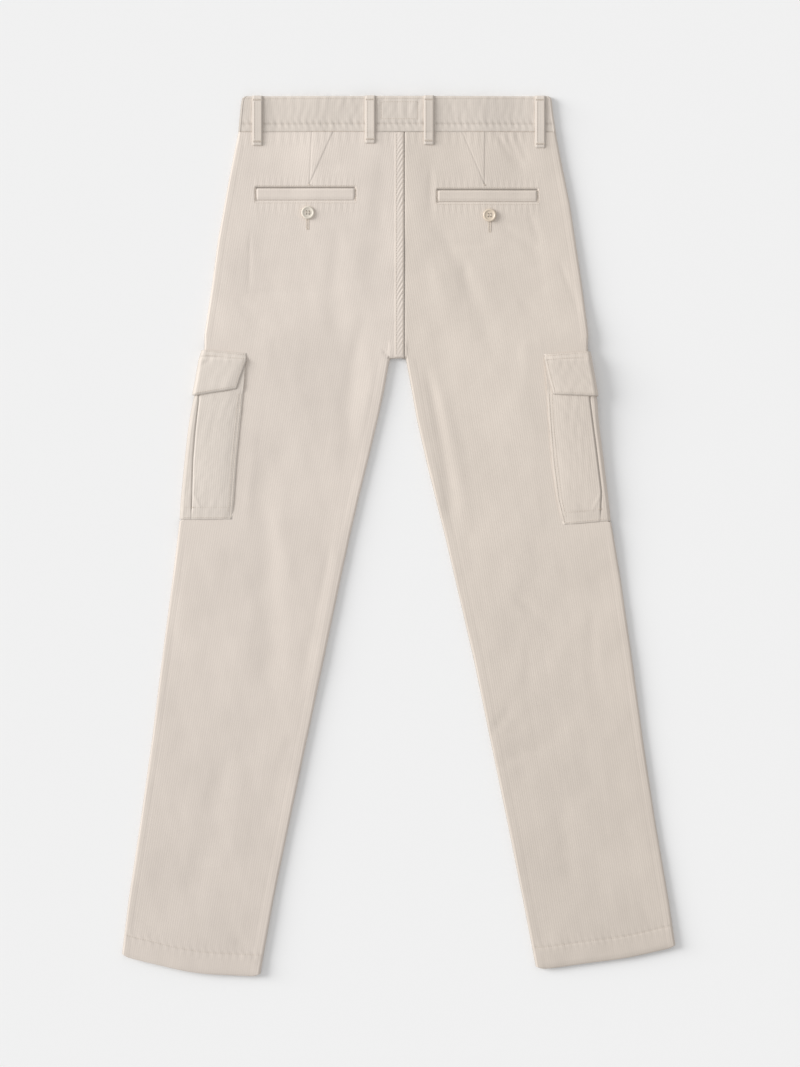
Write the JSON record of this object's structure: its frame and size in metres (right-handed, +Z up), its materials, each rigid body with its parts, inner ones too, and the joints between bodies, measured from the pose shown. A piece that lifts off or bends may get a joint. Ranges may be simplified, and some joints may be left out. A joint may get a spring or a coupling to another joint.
{
  "type": "corduroy cargo trousers",
  "caption": "Corduroy cargo trousers laid flat with the back side up: straight legs, buttoned welt pockets and pleated cargo pockets with flaps.",
  "frame": {"origin": "middle of the bounding box's base, on the surface that the trousers lie on", "axes": "+Y from the hems to the waist, +Z up from the surface, +X to the wearer's right with the back side up"},
  "size_m": [0.6926, 1.1005, 0.016],
  "materials": {
    "corduroy": "cut-pile cotton corduroy, matt with a soft nap",
    "pocket_corduroy": "cut-pile cotton corduroy, matt with a soft nap",
    "zip_tape": "woven cotton tape, matt",
    "zip_metal": "antique brass, satin",
    "button_horn": "cream horn-look resin, half gloss"
  },
  "bodies": {
    "root": {"back_left": "corduroy", "back_right": "corduroy", "front_left": "corduroy", "front_right": "corduroy", "waistband": "corduroy", "cargo_pocket_left": "pocket_corduroy", "cargo_pocket_right": "pocket_corduroy", "cargo_flap_left": "pocket_corduroy", "cargo_flap_right": "pocket_corduroy", "welt_left": "corduroy", "welt_right": "corduroy", "belt_loop_back_1": "corduroy", "belt_loop_back_2": "corduroy", "belt_loop_back_3": "corduroy", "belt_loop_back_4": "corduroy", "belt_loop_front_1": "corduroy", "belt_loop_front_2": "corduroy", "pocket_button_left": "button_horn", "pocket_button_right": "button_horn", "waist_button": "button_horn", "fly_zip": "zip_tape", "zip_slider": "zip_metal"}
  },
  "joints": []
}
